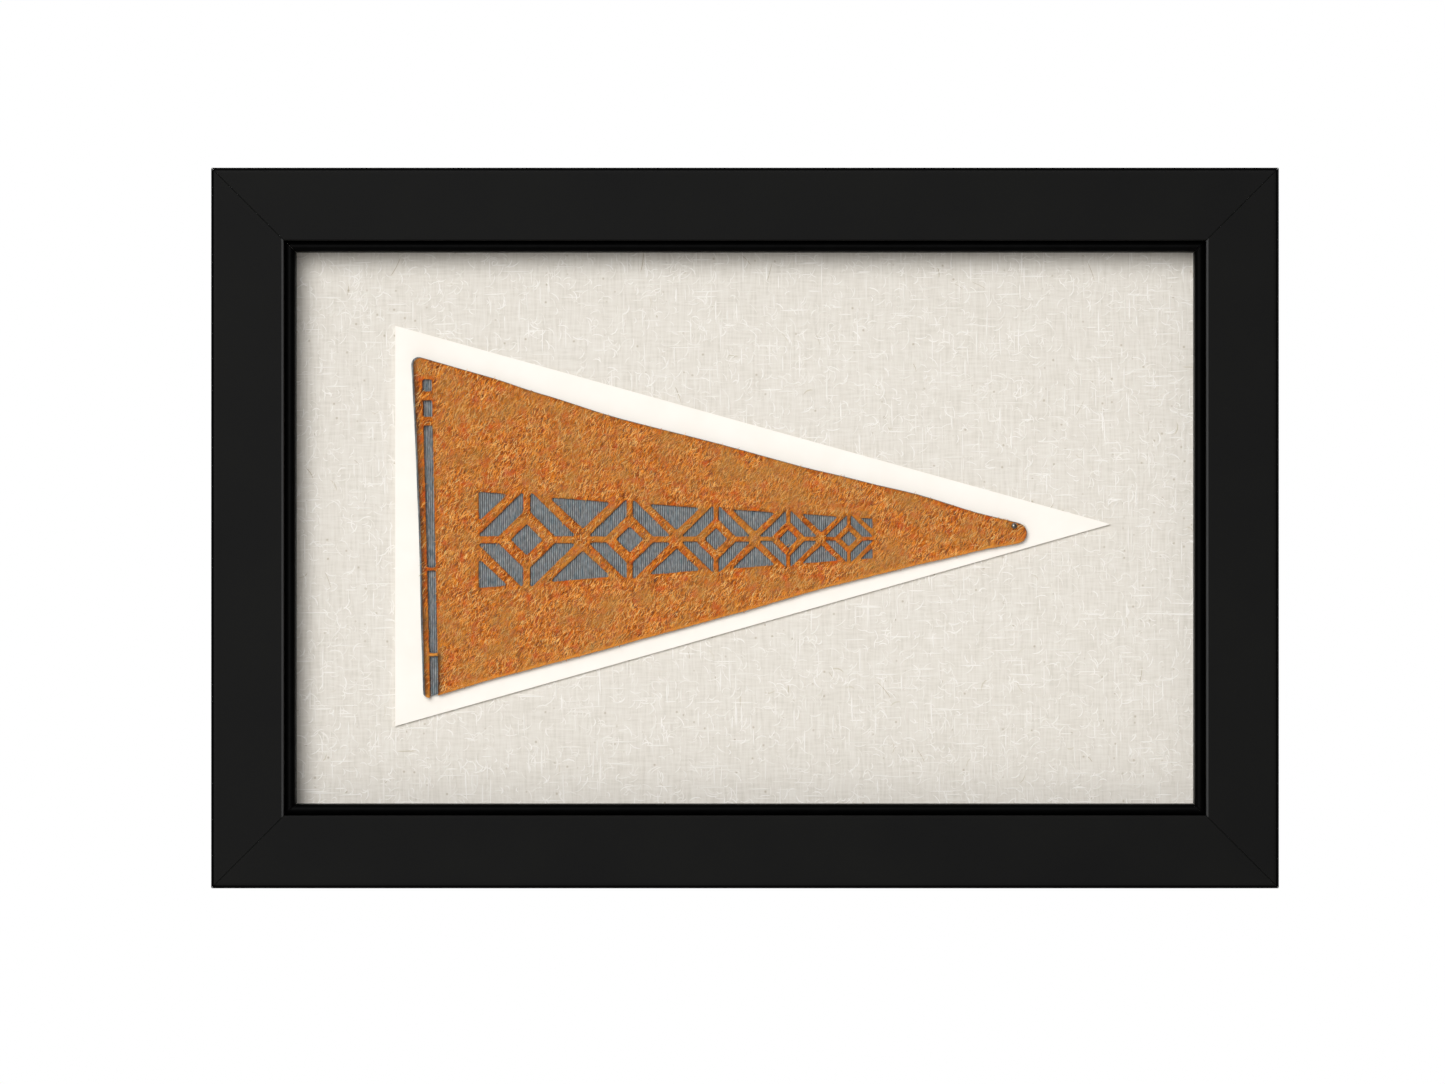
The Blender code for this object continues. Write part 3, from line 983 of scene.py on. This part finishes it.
low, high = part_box("ground_cloth")
outline = np.array(cut_loops("ground_cloth")[0])
first, last = outline[:, 0].min() + END_INSET, outline[:, 0].max() - END_INSET
columns = round((last - first) / (RIB_PITCH / COLUMNS_PER_RIB))
edge_from, edge_to = outline, np.roll(outline, -1, axis=0)
shape = bmesh.new()
grid = []
for column in range(columns + 1):
    x = first + (last - first) * column / columns
    crosses = (edge_from[:, 0] <= x) != (edge_to[:, 0] <= x)
    a, b = edge_from[crosses], edge_to[crosses]
    heights = a[:, 1] + (b[:, 1] - a[:, 1]) * (x - a[:, 0]) / (b[:, 0] - a[:, 0])
    bottom, top = heights.min() + BOTTOM_INSET, heights.max()
    levels = [bottom + (top - bottom) * i / CLOTH_ROWS for i in range(CLOTH_ROWS + 1)]
    grid.append([shape.verts.new((x, low.y, z)) for z in levels])
for near, far in zip(grid, grid[1:]):
    for a, b, c, d in zip(near, far, far[1:], near[1:]):
        shape.faces.new((a, b, c, d))
rim = [column[0] for column in grid] + grid[-1][1:]
rim += [column[-1] for column in grid[-2::-1]] + grid[0][-2:0:-1]
rear = [shape.verts.new((vertex.co.x, high.y, vertex.co.z)) for vertex in rim]
for a, b, c, d in zip(rim, rear, rear[1:] + rear[:1], rim[1:] + rim[:1]):
    shape.faces.new((a, b, c, d))
bmesh.ops.recalc_face_normals(shape, faces=shape.faces)
mesh = bpy.data.meshes.new("ribbed_ground")
shape.to_mesh(mesh)
shape.free()
blank = place_piece("blank", mesh)
mesh = made_by(
    ribs, blank, Pitch=RIB_PITCH, Height=RIB_HEIGHT, Front=low.y + RIBBED_DEPTH, Material=ribbed
)
bpy.data.objects.remove(blank)
mesh.shade_smooth()
mesh.set_sharp_from_angle(angle=math.radians(60))
ground = place_piece("ribbed_ground", mesh)
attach(ground, "root")
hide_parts("ground_cloth")

# Felt face
# Rust-orange wool felt, one piece, with its windows and its slot cut through to the ground cloth.
# It is thicker at the hoist, lumpy, soft at its cut edges and brushed to raise its nap.
POINT_SPACING = 0.00075
POINT_JITTER = 0.2
RIM_SPACING = POINT_SPACING * 0.8
RIM_RINGS = (0.00018, 0.0004)
RIM_CLEARANCE = 0.00013
FELT_THICKNESS = 0.0006
FELT_ROUND = 0.0003
FIBRE_WIDTH = 0.0006
EDGE_RAGGED = 0.00010
LUMP_HEIGHT = 0.00016
KNOT_HEIGHT = 0.00010
WELT_RISE = 0.0006
WELT_FADE = 0.0025
DARK_HOIST = 0.0017
DARK_TOP = 0.0004
GOLDEN_BOTTOM = 0.0013
NAP_CLEARANCE = 0.0004
NAP_FADE = 0.0009
# Where nap grows, as limits of the normal's Y again: on the front, and round the cut edges
FELT_FRONT = (-2.0, -0.75)
FELT_EDGES = (-0.75, 0.5)
# The hoist side of the slot at the pennant's top and foot, across and up from the frame's middle
SLOT_TOP = (-0.1063, 0.0497)
SLOT_FOOT = (-0.1038, -0.0563)

# Felt under its nap: fibres drawn one way, with painted shade in the hollows between them
felt, tree, shader, place = new_material("Wool felt, rust orange")
lean = add_node(
    tree,
    "ShaderNodeMapping",
    links={"Vector": place, "Rotation": (0, math.radians(58), 0)},
)
drawn = add_node(
    tree, "ShaderNodeMapping", links={"Vector": lean.outputs["Vector"], "Scale": (0.3, 1, 1)}
)
strands = add_node(
    tree,
    "ShaderNodeTexNoise",
    links={
        "Vector": drawn.outputs["Vector"],
        "Scale": 1 / FIBRE_WIDTH,
        "Detail": 3,
        "Roughness": 0.6,
    },
)
base = add_node(
    tree,
    "ShaderNodeValToRGB",
    {"stops": [(0.30, "#451d05"), (0.44, "#974a0b"), (0.58, "#cc6f17"), (0.72, "#f0992e")]},
    {"Fac": strands.outputs["Fac"]},
)
relief = add_node(
    tree,
    "ShaderNodeBump",
    links={"Height": strands.outputs["Fac"], "Strength": 0.8, "Distance": 0.0004},
)


def uneven_dye_and_painted_shade(tree, place, colour):
    """The fibre's colour, redder in small blotches, duller in others, with painted shade darkening
    the hoist and top edges, and lighter and golden along the bottom edge."""
    blotch = add_node(
        tree,
        "ShaderNodeTexNoise",
        links={"Vector": place, "Scale": 260, "Detail": 4, "Roughness": 0.68},
    )
    red = add_node(
        tree,
        "ShaderNodeValToRGB",
        {"stops": [(0.51, 0.0), (0.65, 0.7)]},
        {"Fac": blotch.outputs["Fac"]},
    )
    reddened = add_node(
        tree,
        "ShaderNodeMix",
        {"data_type": "RGBA"},
        {0: red.outputs["Color"], 6: colour, 7: linear("#cd5012")},
    )
    drift = add_node(
        tree,
        "ShaderNodeTexNoise",
        links={"Vector": place, "Scale": 95, "Detail": 4, "Roughness": 0.6},
    )
    dull = add_node(
        tree,
        "ShaderNodeValToRGB",
        {"stops": [(0.44, 0.0), (0.64, 0.5)]},
        {"Fac": drift.outputs["Fac"]},
    )
    dulled = add_node(
        tree,
        "ShaderNodeMix",
        {"data_type": "RGBA"},
        {0: dull.outputs["Color"], 6: reddened.outputs[2], 7: linear("#b5843c")},
    )
    colour = dulled.outputs[2]
    # The first rim is painted shade along the hoist and top edges; the second turns the bottom edge
    # golden
    for name, code in (("dark_rim", "#3d2c1c"), ("worn_rim", "#ee9f42")):
        rim = add_node(tree, "ShaderNodeAttribute", {"attribute_name": name})
        colour = add_node(
            tree,
            "ShaderNodeMix",
            {"data_type": "RGBA"},
            {0: rim.outputs["Fac"], 6: colour, 7: linear(code)},
        ).outputs[2]
    return colour


fill(
    tree,
    shader,
    {
        "Base Color": uneven_dye_and_painted_shade(tree, place, base.outputs["Color"]),
        "Normal": relief.outputs["Normal"],
        "Roughness": 0.95,
        "Specular IOR Level": 0.2,
        "Sheen Weight": 0.2,
        "Sheen Roughness": 0.5,
    },
)


def clamped(share):
    """A share held between none and all."""
    return min(max(share, 0), 1)


def with_neighbours(loop):
    """Each point of a closed loop, with the one before it and the one after it."""
    return zip(loop[-1:] + loop[:-1], loop, loop[1:] + loop[:1])


def resampled(loop, spacing):
    """The loop with points at most the spacing apart, and its own corners kept."""
    points = []
    for a, b in zip(loop, loop[1:] + loop[:1]):
        a, b = Vector(a), Vector(b)
        steps = max(1, math.ceil((b - a).length / spacing))
        points += [a.lerp(b, i / steps) for i in range(steps)]
    return points


def inside(points, loop):
    """Which of the points lie in the loop, by counting the sides to the right of each."""
    a = np.array(loop)
    b = np.roll(a, -1, axis=0)
    found = np.zeros(len(points), bool)
    for (ax, az), (bx, bz) in zip(a, b):
        if az == bz:
            continue
        crosses = (az > points[:, 1]) != (bz > points[:, 1])
        found ^= crosses & (points[:, 0] < (bx - ax) * (points[:, 1] - az) / (bz - az) + ax)
    return found


def triangulated(points, loops):
    """Triangles between the points inside the first loop and outside the others, its holes."""
    edges, start = [], 0
    for loop in loops:
        edges += [(start + i, start + (i + 1) % len(loop)) for i in range(len(loop))]
        start += len(loop)
    _, _, faces, origins, _, _ = delaunay_2d_cdt(points, edges, [], 1, 1e-7)
    source = [ids[0] for ids in origins]
    faces = np.array([[source[v] for v in face] for face in faces])
    places = np.array(points)
    centres = places[faces].mean(axis=1)
    keep = inside(centres, loops[0])
    for hole in loops[1:]:
        corners = np.array(hole)
        near = np.all((centres > corners.min(0)) & (centres < corners.max(0)), axis=1)
        keep[near] &= ~inside(centres[near], hole)
    return faces[keep]


low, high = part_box("felt_face")
front = high.y - FELT_THICKNESS
random.seed(7)
loops = []
for loop in cut_loops("felt_face"):
    ragged = []
    for before, here, after in with_neighbours(resampled(loop, RIM_SPACING)):
        aside = (after - before).orthogonal().normalized()
        wobble = noise.noise((here.x * 700, 3.3, here.y * 700)) * EDGE_RAGGED
        ragged.append(here + aside * wobble)
    loops.append(ragged)
rim = [point for loop in loops for point in loop]
tree_of_rim = KDTree(len(rim))
for index, point in enumerate(rim):
    tree_of_rim.insert((point.x, point.y, 0), index)
tree_of_rim.balance()
candidates = []
row_height = POINT_SPACING * math.sqrt(3) / 2
for row in range(int((high.z - low.z) / row_height) + 1):
    for column in range(int((high.x - low.x) / POINT_SPACING) + 1):
        x = low.x + (column + row % 2 / 2) * POINT_SPACING
        x += random.uniform(-1, 1) * POINT_SPACING * POINT_JITTER
        z = low.z + row * row_height + random.uniform(-1, 1) * POINT_SPACING * POINT_JITTER
        candidates.append((x, z))
for loop in loops:
    for before, here, after in with_neighbours(loop):
        aside = (after - before).orthogonal().normalized()
        for distance in RIM_RINGS:
            candidates += [here + aside * distance, here - aside * distance]
candidates = np.array(candidates)
kept = inside(candidates, loops[0])
for hole in loops[1:]:
    kept &= ~inside(candidates, hole)
interior = []
for x, z in candidates[kept]:
    if tree_of_rim.find((x, z, 0))[2] > RIM_CLEARANCE:
        interior.append(Vector((x, z)))
points = rim + interior
top_faces = triangulated(points, loops)
bottom_faces = triangulated(rim, loops)

# The front's height at each point: rolled down at a cut edge, raised on the welt, lumpy throughout
slot_top, slot_foot = (Vector((x, z + middle.z)) for x, z in (SLOT_TOP, SLOT_FOOT))
slot_way = (slot_foot - slot_top).normalized()
vertices = []
for point in points:
    distance = min(tree_of_rim.find((point.x, point.y, 0))[2], FELT_ROUND)
    roll = FELT_ROUND - math.sqrt(FELT_ROUND**2 - (FELT_ROUND - distance) ** 2)
    offset = point - slot_top
    beyond = offset.x * -slot_way.y + offset.y * slot_way.x
    share = clamped(1 - beyond / WELT_FADE)
    welt = WELT_RISE * share * share * (3 - 2 * share)
    lumps = noise.fractal((point.x * 130, 5.1, point.y * 130), 1.0, 2.0, 4) * LUMP_HEIGHT
    knots = noise.noise((point.x * 650, 2.2, point.y * 650)) * KNOT_HEIGHT
    vertices.append((point.x, front + roll - welt - lumps - knots, point.y))
count = len(points)

# How near each point is to the hoist or top edge, and to the bottom edge
edge = loops[0] if signed_area(loops[0]) > 0 else loops[0][::-1]
tree_of_edge = KDTree(len(edge))
outward = []
for index, (before, here, after) in enumerate(with_neighbours(edge)):
    way = after - before
    outward.append(Vector((way.y, -way.x)).normalized())
    tree_of_edge.insert((here.x, here.y, 0), index)
tree_of_edge.balance()
dark_rim, worn_rim = [], []
for point in points + rim:
    _, index, distance = tree_of_edge.find((point.x, point.y, 0))
    facing = outward[index]
    uneven = 1 + 0.6 * noise.noise((point.x * 160, 8.8, point.y * 160))
    # Painted shade: the colour darkens towards the hoist and top edges, as if they were shaded
    hoist = max(0, 1 - distance / (DARK_HOIST * uneven)) * clamped(-facing.x * 2 - 0.8)
    top = max(0, 1 - distance / (DARK_TOP * uneven)) * clamped(facing.y * 2 - 0.8)
    # Lighter and golden towards the bottom edge
    bottom = max(0, 1 - distance / (GOLDEN_BOTTOM * uneven)) * clamped(-facing.y * 2 - 0.8)
    dark_rim.append(max(0.95 * hoist, 0.4 * top))
    worn_rim.append(0.8 * bottom)
vertices += [(point.x, high.y, point.y) for point in rim]
faces = top_faces.tolist()
faces += [(count + a, count + c, count + b) for a, b, c in bottom_faces.tolist()]
start = 0
for loop in loops:
    size = len(loop)
    for i in range(size):
        a, b = start + i, start + (i + 1) % size
        faces.append((a, b, count + b, count + a))
    start += size
mesh = bpy.data.meshes.new("felt_pennant")
mesh.from_pydata(vertices, [], faces)
# Long nap keeps off the cut edges, which have their own short one
cover = []
for point in points:
    distance = tree_of_rim.find((point.x, point.y, 0))[2]
    cover.append(clamped((distance - NAP_CLEARANCE) / NAP_FADE))
cover += [1.0] * len(rim)
for name, values in (("dark_rim", dark_rim), ("worn_rim", worn_rim), ("cover", cover)):
    mesh.attributes.new(name, "FLOAT", "POINT").data.foreach_set("value", values)
shape = bmesh.new()
shape.from_mesh(mesh)
bmesh.ops.recalc_face_normals(shape, faces=shape.faces)
shape.to_mesh(mesh)
shape.free()
mesh.shade_smooth()
mesh.set_sharp_from_angle(angle=math.radians(75))
mesh.materials.append(felt)
face = place_piece("felt_pennant", mesh)

# Wool fibre of the nap: dyed with the felt and paler or darker strand by strand, with the felt's
# # painted shade at the hoist and top edges and its golden bottom edge
nap, tree, shader, place = new_material("Wool fibre, rust orange")
each = add_node(tree, "ShaderNodeAttribute", {"attribute_name": "shade"})
tone = add_node(
    tree,
    "ShaderNodeValToRGB",
    {
        "stops": [
            (0.0, "#562803"),
            (0.3, "#a5530b"),
            (0.58, "#db7e1a"),
            (0.82, "#feb040"),
            (1.0, "#ffdf94"),
        ]
    },
    {"Fac": each.outputs["Fac"]},
)
fill(
    tree,
    shader,
    {
        "Base Color": uneven_dye_and_painted_shade(tree, place, tone.outputs["Color"]),
        "Roughness": 0.9,
        "Specular IOR Level": 0.25,
        "Sheen Weight": 0.2,
    },
)

nap_pieces = []
for name, kind, seed, density, length, width, angle, spread, lift, darkest, span in (
    ("felt_nap", strand_piece, 3, 1.25e6, 0.0022, 0.00022, -56, 42, 5, 0.0, FELT_FRONT),
    ("felt_nap_fine", strand_piece, 4, 1.1e6, 0.0017, 0.00015, -52, 70, 8, 0.1, FELT_FRONT),
    ("felt_nap_curls", curl_piece, 6, 1.2e6, 0.0030, 0.00015, -56, 60, 4, 0.65, FELT_FRONT),
    ("felt_edge_nap", strand_piece, 9, 7.0e6, 0.0005, 0.00008, -58, 180, 6, 0.2, FELT_EDGES),
):
    made = made_by(
        scatter,
        face,
        Strand=kind,
        Seed=seed,
        Density=density,
        Length=length,
        Width=width,
        Proud=width,
        Angle=math.radians(angle),
        Spread=math.radians(spread),
        Lift=math.radians(lift),
        Darkest=darkest,
        Front=span[0],
        Rear=span[1],
        Material=nap,
    )
    nap_pieces.append(place_piece(name, made))
for piece in (face, *nap_pieces):
    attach(piece, "root")
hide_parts("felt_face")
bpy.data.objects.remove(strand_piece)
bpy.data.objects.remove(curl_piece)

# Tip pin
# A small nickel-plated steel pin through the felt near the tip, turned and polished, with a domed
# head that has dulled to a dark grey and catches one glint.

# Nickel plate: it mirrors the room, duller and darker where it has tarnished
steel, tree, shader, place = new_material("Nickel-plated steel, dulled")
tarnish = add_node(tree, "ShaderNodeTexNoise", links={"Vector": place, "Scale": 1500, "Detail": 3})
tone = add_node(
    tree,
    "ShaderNodeValToRGB",
    {"stops": [(0.35, "#4a4743"), (0.65, "#8b8883")]},
    {"Fac": tarnish.outputs["Fac"]},
)
dull = add_node(
    tree,
    "ShaderNodeMapRange",
    links={"Value": tarnish.outputs["Fac"], "To Min": 0.18, "To Max": 0.4},
)
fill(
    tree,
    shader,
    {
        "Base Color": tone.outputs["Color"],
        "Roughness": dull.outputs["Result"],
        "Metallic": 1.0,
    },
)
dress("tip_pin", steel)

# Studio
# The frame hangs about a metre above a plain pale floor. A broad key lamp stands up and to the left
# in a dim room that is brightest behind the frame and at the upper left. The camera is square on.
FLOOR_RADIUS = 7.5
FLOOR_HEIGHT = -1.12
CAMERA_LENS = 300
CAMERA_SENSOR = 36
CAMERA_ASIDE = -0.0075
CAMERA_DISTANCE = 4.038
CAMERA_DROP = 0.00467

floor_mesh = bpy.data.meshes.new("floor")
shape = bmesh.new()
down = Matrix.Translation((0, 0, FLOOR_HEIGHT))
bmesh.ops.create_circle(shape, cap_ends=True, segments=96, radius=FLOOR_RADIUS, matrix=down)
shape.to_mesh(floor_mesh)
shape.free()
floor = place_piece("floor", floor_mesh)

# Matt paint, rolled on: nearly white, with hardly any mottle
pale, tree, shader, place = new_material("Pale matt paint")
mottle = add_node(tree, "ShaderNodeTexNoise", links={"Vector": place, "Scale": 3, "Detail": 3})
tone = add_node(
    tree,
    "ShaderNodeValToRGB",
    {"stops": [(0.3, "#e4e2df"), (0.7, "#e9e7e4")]},
    {"Fac": mottle.outputs["Fac"]},
)
fill(tree, shader, {"Base Color": tone.outputs["Color"], "Roughness": 0.9})
floor_mesh.materials.append(pale)

scene = bpy.context.scene
scene.view_settings.view_transform = "Standard"
scene.view_settings.look = "None"
room = bpy.data.worlds.new("Studio room")
room.use_nodes = True
scene.world = room
sky = room.node_tree
way = add_node(sky, "ShaderNodeTexCoord").outputs["Generated"]
depth = add_node(sky, "ShaderNodeSeparateXYZ", links={"Vector": way}).outputs["Y"]
upper_left = add_node(
    sky, "ShaderNodeVectorMath", {"operation": "DOT_PRODUCT"}, {0: way, 1: (-0.62, 0.0, 0.78)}
)
side = add_node(
    sky,
    "ShaderNodeMapRange",
    {"interpolation_type": "SMOOTHSTEP"},
    {
        "Value": upper_left.outputs["Value"],
        "From Min": -0.4,
        "From Max": 0.8,
        "To Min": 0.08,
        "To Max": 0.32,
    },
)
dim = add_node(
    sky,
    "ShaderNodeMapRange",
    {"interpolation_type": "SMOOTHSTEP"},
    {"Value": depth, "From Min": -0.95, "From Max": -0.72, "To Min": 0.12, "To Max": 1.0},
)
room_light = add_node(
    sky,
    "ShaderNodeMath",
    {"operation": "MULTIPLY"},
    {0: side.outputs["Result"], 1: dim.outputs["Result"]},
)
behind = add_node(
    sky,
    "ShaderNodeMapRange",
    {"interpolation_type": "SMOOTHSTEP"},
    {"Value": depth, "From Min": 0.8, "From Max": 0.97},
)
glow = add_node(
    sky,
    "ShaderNodeMix",
    {"data_type": "FLOAT"},
    {0: behind.outputs["Result"], 2: room_light.outputs[0], 3: 1.0},
)
fill(sky, sky.nodes["Background"], {"Color": glow.outputs[0]})

# The back and side lamps stand behind the picture's plane: they show its back and its sides, and
# never reach its face. Each lamp has its place from the frame's middle, its size, spread and watts
for name, spot, size, spread, energy in (
    ("Key lamp", (-1.12, -3.78, 1.22), 3.2, 80, 39),
    ("Back lamp", (-0.9, 2.6, 1.1), 2.0, 90, 13),
    ("Side lamp", (2.6, 0.75, 0.7), 1.2, 90, 12),
):
    lamp = bpy.data.lights.new(name, "AREA")
    lamp.shape = "DISK"
    lamp.size = size
    lamp.spread = math.radians(spread)
    lamp.energy = energy
    lamp_object = bpy.data.objects.new(name, lamp)
    scene.collection.objects.link(lamp_object)
    lamp_object.visible_camera = False
    lamp_object.location = middle + Vector(spot)
    lamp_object.rotation_euler = (middle - lamp_object.location).to_track_quat("-Z", "Y").to_euler()

camera = bpy.data.cameras.new("Camera")
camera.lens = CAMERA_LENS
camera.sensor_width = CAMERA_SENSOR
camera_object = bpy.data.objects.new("Camera", camera)
scene.collection.objects.link(camera_object)
camera_object.location = (CAMERA_ASIDE, -CAMERA_DISTANCE, middle.z - CAMERA_DROP)
camera_object.rotation_euler = (math.radians(90), 0, 0)
scene.camera = camera_object
